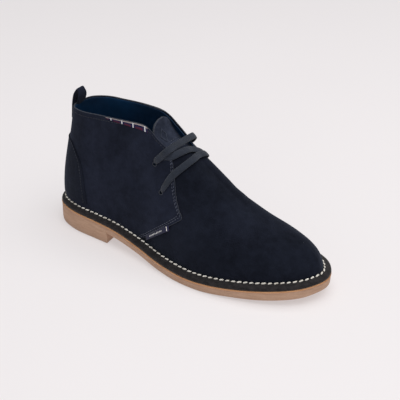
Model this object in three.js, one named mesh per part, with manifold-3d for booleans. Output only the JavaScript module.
// Ankle boot with two eyelet pairs, for the right foot: a hollow suede upper on a one-piece moulded sole.
// Millimetres. X runs from heel to toe, Y towards the inner side of the foot, Z up from the floor.

import * as THREE from 'three';
import { mergeVertices } from 'three/addons/utils/BufferGeometryUtils.js';
import Module from 'manifold-3d';

const wasm = await Module();
wasm.setup();

// Driving sizes
const soleLength = 304;
const ballWidth = 106;
const heelHeight = 22.4;
const instepHeight = 104;
const wallThickness = 2.2;
const clearance = 0.35;
const breastAlong = 77;
const weltThickness = 3.2;
const weltRise = 1.5;
const weltGap = 0.45;
const insoleThickness = 3.5;
const insoleBevel = 0.8;
const insoleGap = 0.7;
const counterThickness = 1.2;
const counterTop = 97;
const eyeletRadius = 2;
const tongueThickness = 2.4;
const laceWidth = 5.6;
const laceThickness = 1.6;
const loopWidth = 13;
const loopThickness = 1.8;

// Rib form: the share of a rib's height at which its lean is full, and the factor that makes swell the
// share of breadth added where height * (1 - height)^2 peaks
const leanTop = 0.75;
const swellPeak = 27 / 4;

// Fineness of the faceted surfaces
const stepsPerRow = 3;
const ribSteps = 13;
const punchSides = 14;
const curveSteps = 3;
const weld = 1e-3;

// Sole stations from heel to toe. along is a share of the sole length; outside and inside are shares of the
// ball width, measured from the heel's centre line; top and bottom are shares of the heel height; ledge is
// how far the welt stands out past the upper, in millimetres.
const soleRows = [
  { along: 0.0, outside: 0.009, inside: 0.009, top: 1.0, bottom: 0.56, ledge: 4.2 },
  { along: 0.011, outside: -0.138, inside: 0.156, top: 1.0, bottom: 0.56, ledge: 4.6 },
  { along: 0.044, outside: -0.245, inside: 0.262, top: 1.0, bottom: 0.56, ledge: 5.5 },
  { along: 0.112, outside: -0.315, inside: 0.332, top: 1.0, bottom: 0.56, ledge: 6.0 },
  { along: 0.197, outside: -0.336, inside: 0.349, top: 0.964, bottom: 0.55, ledge: 6.6 },
  { along: 0.29, outside: -0.356, inside: 0.33, top: 0.875, bottom: 0.47, ledge: 7.2 },
  { along: 0.389, outside: -0.404, inside: 0.307, top: 0.679, bottom: 0.29, ledge: 7.8 },
  { along: 0.487, outside: -0.469, inside: 0.33, top: 0.473, bottom: 0.07, ledge: 8.0 },
  { along: 0.587, outside: -0.518, inside: 0.401, top: 0.397, bottom: -0.02, ledge: 8.0 },
  { along: 0.67, outside: -0.519, inside: 0.462, top: 0.429, bottom: 0.01, ledge: 8.0 },
  { along: 0.753, outside: -0.481, inside: 0.486, top: 0.518, bottom: 0.1, ledge: 8.0 },
  { along: 0.836, outside: -0.412, inside: 0.458, top: 0.643, bottom: 0.18, ledge: 8.0 },
  { along: 0.904, outside: -0.322, inside: 0.382, top: 0.75, bottom: 0.27, ledge: 8.0 },
  { along: 0.957, outside: -0.21, inside: 0.281, top: 0.839, bottom: 0.36, ledge: 8.0 },
  { along: 0.989, outside: -0.074, inside: 0.16, top: 0.893, bottom: 0.44, ledge: 7.8 },
  { along: 1.0, outside: 0.042, inside: 0.042, top: 0.911, bottom: 0.47, ledge: 7.6 },
];

// Crown of the last at the same stations: where each rib ends on top, as shares of the sole length, ball
// width and instep height, and dip, how steeply a front rib leaves the crown downwards. The rearmost ribs
// end above the collar, which is cut afterwards.
const crownRows = [
  { along: 0.164, inward: 0.024, up: 1.654, dip: 0 },
  { along: 0.168, inward: 0.024, up: 1.654, dip: 0 },
  { along: 0.174, inward: 0.026, up: 1.654, dip: 0 },
  { along: 0.197, inward: 0.028, up: 1.644, dip: 0 },
  { along: 0.253, inward: 0.028, up: 1.606, dip: 0 },
  { along: 0.322, inward: 0.028, up: 1.5, dip: 0 },
  { along: 0.385, inward: 0.028, up: 1.346, dip: 0 },
  { along: 0.464, inward: 0.03, up: 1.155, dip: 0 },
  { along: 0.553, inward: 0.033, up: 0.975, dip: 0 },
  { along: 0.638, inward: 0.036, up: 0.79, dip: 0 },
  { along: 0.724, inward: 0.04, up: 0.645, dip: 0 },
  { along: 0.806, inward: 0.042, up: 0.557, dip: 0.02 },
  { along: 0.862, inward: 0.042, up: 0.515, dip: 0.12 },
  { along: 0.888, inward: 0.042, up: 0.494, dip: 0.2 },
  { along: 0.902, inward: 0.042, up: 0.482, dip: 0.25 },
  { along: 0.907, inward: 0.042, up: 0.478, dip: 0.27 },
];

// Shape of each rib on the outer and inner side of the foot: lean draws it in towards the ankle, swell
// rounds it out near the sole, and square is the power of its rounded corner.
const wallRows = [
  { outside: { lean: 0.305, swell: 0.05, square: 6 }, inside: { lean: 0.305, swell: 0.05, square: 6 } },
  { outside: { lean: 0.295, swell: 0.05, square: 6 }, inside: { lean: 0.28, swell: 0.05, square: 6 } },
  { outside: { lean: 0.27, swell: 0.05, square: 6 }, inside: { lean: 0.22, swell: 0.05, square: 6 } },
  { outside: { lean: 0.25, swell: 0.06, square: 6 }, inside: { lean: 0.17, swell: 0.06, square: 6 } },
  { outside: { lean: 0.25, swell: 0.05, square: 5 }, inside: { lean: 0.13, swell: 0.05, square: 5 } },
  { outside: { lean: 0.27, swell: 0.04, square: 4 }, inside: { lean: 0.03, swell: 0.08, square: 4.5 } },
  { outside: { lean: 0.28, swell: 0.04, square: 3.2 }, inside: { lean: -0.09, swell: 0.1, square: 4.2 } },
  { outside: { lean: 0.24, swell: 0.05, square: 2.6 }, inside: { lean: -0.04, swell: 0.1, square: 2.7 } },
  { outside: { lean: 0.17, swell: 0.05, square: 2.3 }, inside: { lean: 0.06, swell: 0.08, square: 2.2 } },
  { outside: { lean: 0.1, swell: 0.05, square: 2.2 }, inside: { lean: 0.1, swell: 0.05, square: 2.05 } },
  { outside: { lean: 0.04, swell: 0.05, square: 2.2 }, inside: { lean: 0.07, swell: 0.05, square: 2.05 } },
  { outside: { lean: 0.0, swell: 0.04, square: 2.2 }, inside: { lean: 0.0, swell: 0.04, square: 2.05 } },
  { outside: { lean: 0.0, swell: 0.04, square: 2.2 }, inside: { lean: 0.0, swell: 0.04, square: 2.1 } },
  { outside: { lean: 0.0, swell: 0.03, square: 2.2 }, inside: { lean: 0.0, swell: 0.03, square: 2.2 } },
  { outside: { lean: 0.0, swell: 0.03, square: 2.3 }, inside: { lean: 0.0, swell: 0.03, square: 2.3 } },
  { outside: { lean: 0.0, swell: 0.03, square: 2.35 }, inside: { lean: 0.0, swell: 0.03, square: 2.35 } },
];

// Collar and throat line seen from the side, from behind the heel to the bottom of the throat.
const topLine = [
  { along: -12, up: 126.5 },
  { along: 8, up: 127.5 },
  { along: 25, up: 130 },
  { along: 56, up: 132.5 },
  { along: 90, up: 134.3 },
  { along: 108, up: 134.2 },
  { along: 117, up: 131 },
  { along: 125, up: 124.8 },
  { along: 134, up: 118.5 },
  { along: 141, up: 112.5 },
  { along: 147, up: 111 },
];

// Front edge of the heel counter seen from the side, from its top back to the welt.
const counterEdge = [
  { along: -12, up: counterTop },
  { along: 18, up: counterTop - 0.5 },
  { along: 27, up: 93.5 },
  { along: 34, up: 86 },
  { along: 40, up: 77 },
  { along: 44.5, up: 58 },
  { along: 47, up: 42 },
];

// Tongue from under the vamp to its tip: centre line, half width and how far its sides drop.
const tongueRows = [
  { along: 166, up: 94, inward: 4, half: 12, drop: 3.2 },
  { along: 155, up: 101, inward: 4, half: 14, drop: 4 },
  { along: 144, up: 106, inward: 4, half: 15, drop: 4.4 },
  { along: 134.5, up: 110, inward: 4.5, half: 16.5, drop: 4.2 },
  { along: 127, up: 113.5, inward: 5, half: 17, drop: 3.6 },
  { along: 121.5, up: 118, inward: 5.5, half: 16, drop: 3 },
  { along: 118, up: 123, inward: 6, half: 14.5, drop: 2.4 },
  { along: 116.4, up: 128.5, inward: 6, half: 12, drop: 1.8 },
  { along: 115.6, up: 132.5, inward: 6, half: 8.5, drop: 1.2 },
  { along: 115.2, up: 134.6, inward: 6, half: 4, drop: 0.5 },
];

// Eyelets, on both sides alike: place along the ring of ribs, and climb from feather (0) to crown (90).
const eyelets = {
  top: { row: 6.35, climb: 41 },
  low: { row: 6.73, climb: 32 },
};

// Pull loop seen from the side: up the outside of the collar, over, and down inside it. facing is the
// direction of the strap's outer face, in degrees up from forwards.
const loopRows = [
  { along: 13.2, up: 112, facing: 180 },
  { along: 14.2, up: 120, facing: 178 },
  { along: 14.8, up: 128, facing: 174 },
  { along: 16, up: 136, facing: 160 },
  { along: 18.2, up: 142, facing: 145 },
  { along: 21, up: 144.6, facing: 90 },
  { along: 23.6, up: 141.6, facing: 12 },
  { along: 23.6, up: 136, facing: 0 },
  { along: 23, up: 129, facing: -4 },
  { along: 22.4, up: 121, facing: -2 },
  { along: 22, up: 114, facing: 0 },
];

// Edge of the sole slab, lowest first: inset from the outline and height over the face named.
const slabEdge = [
  { face: 'bottom', inset: 1.4, lift: 0 },
  { face: 'bottom', inset: 0.2, lift: 1.6 },
  { face: 'top', inset: 0, lift: -2.4 },
  { face: 'top', inset: 0, lift: -0.7 },
  { face: 'top', inset: 0.6, lift: 0 },
];

// Edge of the heel block, from the floor up.
const heelEdge = [
  { inset: 1.6, lift: 0 },
  { inset: 0.4, lift: 1.8 },
  { inset: 0, lift: 6 },
  { inset: 0, lift: 0.8 * heelHeight },
];

// Cross section of the welt: reach is the share of the way from the outline to the upper, inset is added
// to it, thick and rise are shares of its thickness and of its rise towards the upper.
const weltEdge = [
  { reach: 1, inset: 0, thick: 0, rise: 0 },
  { reach: 0, inset: 0.3, thick: 0, rise: 0 },
  { reach: 0, inset: -0.2, thick: 0.45, rise: 0 },
  { reach: 0, inset: 0.7, thick: 0.92, rise: 0 },
  { reach: 0.45, inset: 0, thick: 1, rise: 0.13 },
  { reach: 1, inset: -0.6, thick: 1, rise: 1 },
];

// Corners of a flat band's cross section, as shares of its width and thickness.
const bandSection = [
  { across: -0.5, up: 0.2 },
  { across: -0.5, up: -0.2 },
  { across: -0.38, up: -0.5 },
  { across: 0.38, up: -0.5 },
  { across: 0.5, up: -0.2 },
  { across: 0.5, up: 0.2 },
  { across: 0.38, up: 0.5 },
  { across: -0.38, up: 0.5 },
];

const lastIndex = soleRows.length - 1;
const ringRows = 2 * lastIndex;
const ringSteps = ringRows * stepsPerRow;
const leatherColour = 0x1e222c;

function material(color, roughness) {
  return new THREE.MeshStandardMaterial({ color, roughness, metalness: 0 });
}

// Stations run round the foot: up the outside from heel to toe, then back along the inside.
function stationAt(ringIndex) {
  const index = ((ringIndex % ringRows) + ringRows) % ringRows;
  if (index <= lastIndex) {
    return { station: index, side: 'outside' };
  }
  return { station: ringRows - index, side: 'inside' };
}

// Smooth closed curve through one value of the stations, at ring position u.
function round(u, pick) {
  const start = Math.floor(u);
  const part = u - start;
  const [p0, p1, p2, p3] = [-1, 0, 1, 2].map((step) => {
    const { station, side } = stationAt(start + step);
    return pick(station, side);
  });
  const bend = (2 * p0 - 5 * p1 + 4 * p2 - p3) * part * part;
  const twist = (3 * p1 - p0 - 3 * p2 + p3) * part * part * part;
  return 0.5 * (2 * p1 + (p2 - p0) * part + bend + twist);
}

function outlinePoint(u) {
  const x = round(u, (station) => soleRows[station].along) * soleLength;
  const y = round(u, (station, side) => soleRows[station][side]) * ballWidth;
  return new THREE.Vector2(x, y);
}

// Sole outline moved inwards by a distance that may change along the foot.
function insetOutline(u, inset) {
  const step = 0.01;
  const ahead = outlinePoint(u + step);
  const along = ahead.sub(outlinePoint(u - step)).normalize();
  return outlinePoint(u).add(new THREE.Vector2(-along.y, along.x).multiplyScalar(inset));
}

// Height of the sole's top or bottom face at a place along the foot.
function soleHeight(x, face) {
  let low = 0;
  let high = lastIndex;
  const share = Math.min(Math.max(x / soleLength, 0), 1);
  for (let pass = 0; pass < 24; pass += 1) {
    const middle = (low + high) / 2;
    if (round(middle, (station) => soleRows[station].along) < share) {
      low = middle;
    } else {
      high = middle;
    }
  }
  return Math.max(0, round(low, (station) => soleRows[station][face])) * heelHeight;
}

const ledgeAt = (u) => round(u, (station) => soleRows[station].ledge);
const crownValue = (u, name) => round(u, (station) => crownRows[station][name]);
const wallValue = (u, name) => round(u, (station, side) => wallRows[station][side][name]);

// Point on the last: a rounded-corner rib from the feather line (climb 0) to the crown (climb 90 degrees).
function lastPoint(u, climb) {
  const feather = insetOutline(u, ledgeAt(u));
  const featherUp = soleHeight(feather.x, 'top') + clearance;
  const crown = new THREE.Vector2(crownValue(u, 'along') * soleLength, crownValue(u, 'inward') * ballWidth);
  const crownUp = crownValue(u, 'up') * instepHeight;
  const angle = THREE.MathUtils.degToRad(climb);
  const square = wallValue(u, 'square');
  const across = Math.max(Math.cos(angle), 0);
  const rise = Math.sin(angle);
  const reach = (across ** square + rise ** square) ** (-1 / square);
  const height = rise * reach;
  const drawnIn = wallValue(u, 'lean') * THREE.MathUtils.smoothstep(height, 0, leanTop);
  const swell = wallValue(u, 'swell') * swellPeak * height * (1 - height) ** 2;
  const share = across * reach * (1 - drawnIn + swell);
  const flat = crown.clone().lerp(feather, share);
  const drop = crownValue(u, 'dip') * Math.max(flat.x - crown.x, 0) * height ** 2;
  return new THREE.Vector3(flat.x, flat.y, THREE.MathUtils.lerp(featherUp, crownUp, height) - drop);
}

function ribNormal(u, climb) {
  const stepAlong = 0.02;
  const stepUp = 0.6;
  const along = lastPoint(u + stepAlong, climb).sub(lastPoint(u - stepAlong, climb));
  const up = lastPoint(u, Math.min(climb + stepUp, 90)).sub(lastPoint(u, Math.max(climb - stepUp, 0)));
  return along.cross(up).normalize();
}

// Outward normal of the last; the two halves share the normal where they meet on the crown.
function lastNormal(u, climb) {
  const normal = ribNormal(u, climb);
  if (climb === 90) {
    normal.add(ribNormal(ringRows - u, climb)).normalize();
  }
  return normal;
}

// Surface of the upper, moved out from the last by a distance.
function upperPoint(u, climb, out) {
  return lastPoint(u, climb).addScaledVector(lastNormal(u, climb), out);
}

function geometryFrom(points, faces) {
  const geometry = new THREE.BufferGeometry();
  const places = points.flatMap((p) => p.toArray());
  geometry.setAttribute('position', new THREE.Float32BufferAttribute(places, 3));
  geometry.setIndex(faces.flat());
  return mergeVertices(geometry, weld);
}

function toSolid(geometry) {
  const source = geometry.clone();
  for (const name of ['normal', 'uv']) {
    source.deleteAttribute(name);
  }
  const merged = mergeVertices(source, weld);
  const faces = [];
  for (let i = 0; i < merged.index.count; i += 3) {
    const [a, b, c] = [0, 1, 2].map((k) => merged.index.getX(i + k));
    if (a !== b && b !== c && c !== a) {
      faces.push(a, b, c);
    }
  }
  return new wasm.Manifold(new wasm.Mesh({
    numProp: 3,
    vertProperties: new Float32Array(merged.attributes.position.array),
    triVerts: new Uint32Array(faces),
  }));
}

function toGeometry(solid) {
  const mesh = solid.getMesh();
  const geometry = new THREE.BufferGeometry();
  geometry.setAttribute('position', new THREE.Float32BufferAttribute(mesh.vertProperties, 3));
  geometry.setIndex(Array.from(mesh.triVerts));
  geometry.computeVertexNormals();
  return geometry;
}

// Two triangles on the corners a, b, c, d, counted anticlockwise from outside.
function quad(a, b, c, d) {
  return [[a, b, c], [a, c, d]];
}

// Closed hollow form between two distances from the last, open underneath.
function shellSolid(outside, inside) {
  const points = [];
  const layers = [outside, inside];
  for (const out of layers) {
    for (let i = 0; i < ringSteps; i += 1) {
      for (let j = 0; j <= ribSteps; j += 1) {
        const u = i / stepsPerRow;
        const point = upperPoint(u, (90 * j) / ribSteps, out);
        if (j === 0) {
          point.z = soleHeight(point.x, 'top') + clearance;
        }
        points.push(point);
      }
    }
  }
  const perRib = ribSteps + 1;
  const at = (layer, i, j) => (layer * ringSteps + (i % ringSteps)) * perRib + j;
  const faces = [];
  for (let i = 0; i < ringSteps; i += 1) {
    for (let j = 0; j < ribSteps; j += 1) {
      faces.push(...quad(at(0, i, j), at(0, i + 1, j), at(0, i + 1, j + 1), at(0, i, j + 1)));
      faces.push(...quad(at(1, i, j), at(1, i, j + 1), at(1, i + 1, j + 1), at(1, i + 1, j)));
    }
    faces.push(...quad(at(0, i, 0), at(1, i, 0), at(1, i + 1, 0), at(0, i + 1, 0)));
  }
  return toSolid(geometryFrom(points, faces));
}

// Stack of closed rings round the foot, lowest first, capped with straight rungs from side to side.
function ringStack(levels) {
  const points = [];
  for (const level of levels) {
    for (let i = 0; i < ringSteps; i += 1) {
      points.push(level(i / stepsPerRow));
    }
  }
  const at = (level, i) => level * ringSteps + ((i + ringSteps) % ringSteps);
  const top = levels.length - 1;
  const faces = [];
  for (let i = 0; i < ringSteps; i += 1) {
    for (let level = 0; level < top; level += 1) {
      faces.push(...quad(at(level, i), at(level, i + 1), at(level + 1, i + 1), at(level + 1, i)));
    }
  }
  for (let i = 0; i < ringSteps / 2; i += 1) {
    faces.push(...quad(at(top, i), at(top, i + 1), at(top, -i - 1), at(top, -i)));
    faces.push(...quad(at(0, i), at(0, -i), at(0, -i - 1), at(0, i + 1)));
  }
  return toSolid(geometryFrom(points, faces));
}

// One level of a sole-shaped form: an inset outline at a height worked out from its place along the foot.
function level(inset, height) {
  return (u) => {
    const flat = insetOutline(u, inset(u));
    return new THREE.Vector3(flat.x, flat.y, height(flat.x));
  };
}

// Form with a side profile of given points, running right across the foot.
function acrossFoot(line, closing) {
  const shape = new THREE.Shape();
  shape.moveTo(line[0].along, line[0].up);
  shape.splineThru(line.slice(1).map(({ along, up }) => new THREE.Vector2(along, up)));
  for (const { along, up } of closing) {
    shape.lineTo(along, up);
  }
  const width = 2 * ballWidth;
  const settings = { depth: width, bevelEnabled: false, curveSegments: curveSteps };
  const geometry = new THREE.ExtrudeGeometry(shape, settings);
  geometry.translate(0, 0, -width / 2);
  geometry.rotateX(Math.PI / 2);
  return toSolid(geometry);
}

function outsole() {
  const slab = ringStack(slabEdge.map(({ face, inset, lift }) => level(
    () => inset,
    (x) => soleHeight(x, face) + lift,
  )));
  const heelForm = ringStack(heelEdge.map(({ inset, lift }) => level(() => inset, () => lift)));
  const behindBreast = new THREE.BoxGeometry(2 * breastAlong, 2 * ballWidth, 4 * heelHeight);
  return toGeometry(slab.add(heelForm.intersect(toSolid(behindBreast))));
}

// Welt: a ring round the feather line, rounded outside and rising a little towards the upper.
function welt() {
  const inner = (u) => ledgeAt(u) - weltGap;
  const profile = weltEdge.map(({ reach, inset, thick, rise }) => level(
    (u) => reach * inner(u) + inset,
    (x) => soleHeight(x, 'top') + clearance + thick * weltThickness + rise * weltRise,
  ));
  const steps = Array.from({ length: ringSteps }, (_, i) => i / stepsPerRow);
  const points = profile.flatMap((ring) => steps.map(ring));
  const at = (row, i) => (row % profile.length) * ringSteps + (i % ringSteps);
  const faces = [];
  for (let i = 0; i < ringSteps; i += 1) {
    for (let row = 0; row < profile.length; row += 1) {
      faces.push(...quad(at(row, i), at(row, i + 1), at(row + 1, i + 1), at(row + 1, i)));
    }
  }
  return toSolid(geometryFrom(points, faces));
}

function insole() {
  const inset = (u) => ledgeAt(u) + wallThickness + insoleGap;
  const base = (x) => soleHeight(x, 'top') + clearance;
  return toGeometry(ringStack([
    level(inset, base),
    level(inset, (x) => base(x) + insoleThickness - insoleBevel),
    level((u) => inset(u) + insoleBevel, (x) => base(x) + insoleThickness),
  ]));
}

// Punch through the wall at an eyelet, square to the surface.
function eyeletPunch({ row, climb }, side) {
  const u = side === 'outside' ? row : ringRows - row;
  const punch = new THREE.CylinderGeometry(eyeletRadius, eyeletRadius, 6 * wallThickness, punchSides);
  const turn = new THREE.Quaternion().setFromUnitVectors(new THREE.Vector3(0, 1, 0), lastNormal(u, climb));
  punch.applyQuaternion(turn);
  const centre = upperPoint(u, climb, -wallThickness / 2);
  punch.translate(centre.x, centre.y, centre.z);
  return toSolid(punch);
}

const skyAbove = [
  { along: 152, up: 220 },
  { along: -12, up: 220 },
];

function upper() {
  let shell = shellSolid(0, -wallThickness).subtract(acrossFoot(topLine, skyAbove));
  for (const eyelet of Object.values(eyelets)) {
    for (const side of ['outside', 'inside']) {
      shell = shell.subtract(eyeletPunch(eyelet, side));
    }
  }
  return toGeometry(shell);
}

// Heel counter: what lies behind its front edge, between two larger forms of the upper.
function heelCounter() {
  const foot = heelHeight + weltThickness + weltRise + 3 * clearance;
  const behind = acrossFoot(counterEdge, [{ along: 48, up: foot }, { along: -12, up: foot }]);
  const skin = shellSolid(clearance + counterThickness, clearance);
  return toGeometry(skin.intersect(behind));
}

// Closed plate between two equal grids of points; columns turn to rows anticlockwise on the outer one.
function plateSolid(outer, inner) {
  const rows = outer.length;
  const columns = outer[0].length;
  const at = (layer, i, j) => (layer * rows + i) * columns + j;
  const faces = [];
  for (let i = 0; i < rows - 1; i += 1) {
    for (let j = 0; j < columns - 1; j += 1) {
      faces.push(...quad(at(0, i, j), at(0, i, j + 1), at(0, i + 1, j + 1), at(0, i + 1, j)));
      faces.push(...quad(at(1, i, j), at(1, i + 1, j), at(1, i + 1, j + 1), at(1, i, j + 1)));
    }
    faces.push(...quad(at(0, i, 0), at(0, i + 1, 0), at(1, i + 1, 0), at(1, i, 0)));
    faces.push(...quad(at(0, i + 1, columns - 1), at(0, i, columns - 1), at(1, i, columns - 1),
      at(1, i + 1, columns - 1)));
  }
  for (let j = 0; j < columns - 1; j += 1) {
    faces.push(...quad(at(0, 0, j + 1), at(0, 0, j), at(1, 0, j), at(1, 0, j + 1)));
    const end = rows - 1;
    faces.push(...quad(at(0, end, j), at(0, end, j + 1), at(1, end, j + 1), at(1, end, j)));
  }
  return toSolid(geometryFrom([...outer, ...inner].flat(), faces));
}

// Tongue: cross sections from under the vamp to the tip, each dropping towards its sides.
function tongue() {
  const spine = new THREE.CatmullRomCurve3(
    tongueRows.map(({ along, up }) => new THREE.Vector3(along, 0, up)),
  );
  const sizes = new THREE.CatmullRomCurve3(
    tongueRows.map(({ half, drop, inward }) => new THREE.Vector3(half, drop, inward)),
  );
  const lengthSteps = 24;
  const widthSteps = 8;
  const layers = [0, tongueThickness].map((depth) => Array.from({ length: lengthSteps + 1 }, (_, i) => {
    const centre = spine.getPoint(i / lengthSteps);
    const tangent = spine.getTangent(i / lengthSteps);
    const size = sizes.getPoint(i / lengthSteps);
    const outward = new THREE.Vector3(tangent.z, 0, -tangent.x);
    return Array.from({ length: widthSteps + 1 }, (__, j) => {
      const across = (2 * j) / widthSteps - 1;
      const point = centre.clone().addScaledVector(outward, -size.y * across * across - depth);
      point.y = size.z + size.x * across;
      return point;
    });
  }));
  return toGeometry(plateSolid(...layers));
}

// Flat band swept along points, each with its own outward direction.
function band(stops, width, thickness) {
  const path = new THREE.CatmullRomCurve3(stops.map(({ point }) => point), false, 'centripetal');
  const outwards = new THREE.CatmullRomCurve3(stops.map(({ outward }) => outward));
  const steps = 4 * (stops.length - 1);
  const points = [];
  for (let i = 0; i <= steps; i += 1) {
    const centre = path.getPoint(i / steps);
    const tangent = path.getTangent(i / steps);
    const sideways = new THREE.Vector3().crossVectors(tangent, outwards.getPoint(i / steps)).normalize();
    const out = new THREE.Vector3().crossVectors(sideways, tangent).normalize();
    for (const { across, up } of bandSection) {
      const corner = centre.clone().addScaledVector(sideways, across * width);
      points.push(corner.addScaledVector(out, up * thickness));
    }
  }
  const sides = bandSection.length;
  const at = (i, k) => i * sides + (k % sides);
  const faces = [];
  for (let i = 0; i < steps; i += 1) {
    for (let k = 0; k < sides; k += 1) {
      faces.push(...quad(at(i, k), at(i + 1, k), at(i + 1, k + 1), at(i, k + 1)));
    }
  }
  for (let k = 1; k < sides - 1; k += 1) {
    faces.push([at(0, 0), at(0, k), at(0, k + 1)]);
    faces.push([at(steps, 0), at(steps, k + 1), at(steps, k)]);
  }
  return toSolid(geometryFrom(points, faces));
}

// Lace bar from one eyelet, over both edges of the throat, to an eyelet on the other side.
function laceBar(from, to, bridge) {
  const lift = laceThickness / 2 + 3 * clearance;
  const stop = (row, climb, side, out) => {
    const u = side === 'outside' ? row : ringRows - row;
    return { point: upperPoint(u, climb, lift + out), outward: lastNormal(u, climb) };
  };
  return band([
    stop(from.row, from.climb, 'outside', 0),
    ...bridge.map(({ row, climb, side, out }) => stop(row, climb, side, out)),
    stop(to.row, to.climb, 'inside', 0),
  ], laceWidth, laceThickness);
}

function lace() {
  const topBar = laceBar(eyelets.top, eyelets.top, [
    { row: 6.55, climb: 48, side: 'outside', out: 0.5 },
    { row: 6.88, climb: 60, side: 'outside', out: 1.2 },
    { row: 6.95, climb: 62, side: 'inside', out: 3.2 },
    { row: 6.7, climb: 52, side: 'inside', out: 2.8 },
    { row: 6.45, climb: 44, side: 'inside', out: 1.4 },
  ]);
  const crossBar = laceBar(eyelets.top, eyelets.low, [
    { row: 6.75, climb: 52, side: 'outside', out: 0.5 },
    { row: 7.15, climb: 66, side: 'outside', out: 0.8 },
    { row: 7.45, climb: 70, side: 'inside', out: 2.4 },
    { row: 7.15, climb: 46, side: 'inside', out: 1.8 },
  ]);
  const lowBar = laceBar(eyelets.low, eyelets.low, [
    { row: 7.15, climb: 46, side: 'outside', out: 0.4 },
    { row: 7.65, climb: 66, side: 'outside', out: 0.9 },
    { row: 7.95, climb: 90, side: 'outside', out: 1.2 },
    { row: 7.9, climb: 68, side: 'inside', out: 0.9 },
    { row: 7.3, climb: 46, side: 'inside', out: 0.4 },
  ]);
  return toGeometry(topBar.add(crossBar).add(lowBar));
}

// Pull loop: a strap folded over on itself, standing on the back of the collar.
function pullLoop() {
  const stops = loopRows.map(({ along, up, facing }) => {
    const angle = THREE.MathUtils.degToRad(facing);
    return {
      point: new THREE.Vector3(along, crownRows[0].inward * ballWidth, up),
      outward: new THREE.Vector3(Math.cos(angle), 0, Math.sin(angle)),
    };
  });
  return toGeometry(band(stops, loopWidth, loopThickness));
}

const boot = new THREE.Group();

function addPart(name, geometry, look) {
  const mesh = new THREE.Mesh(geometry, look);
  mesh.name = name;
  boot.add(mesh);
}

addPart('outsole', outsole(), material(0x96785f, 0.75));
addPart('welt', toGeometry(welt()), material(0x1c1f28, 0.85));
addPart('upper', upper(), material(leatherColour, 0.95));
addPart('heel_counter', heelCounter(), material(leatherColour, 0.95));
addPart('tongue', tongue(), material(0x232833, 0.95));
addPart('insole', insole(), material(0x1a2a36, 0.9));
addPart('lace', lace(), material(0x2b323d, 0.85));
addPart('pull_loop', pullLoop(), material(leatherColour, 0.95));

// The origin is under the middle of the boot, on the floor.
const extent = new THREE.Box3().setFromObject(boot);
const middle = extent.getCenter(new THREE.Vector3());
boot.position.set(-middle.x, -middle.y, -extent.min.z);
boot.updateMatrixWorld(true);

export default boot;
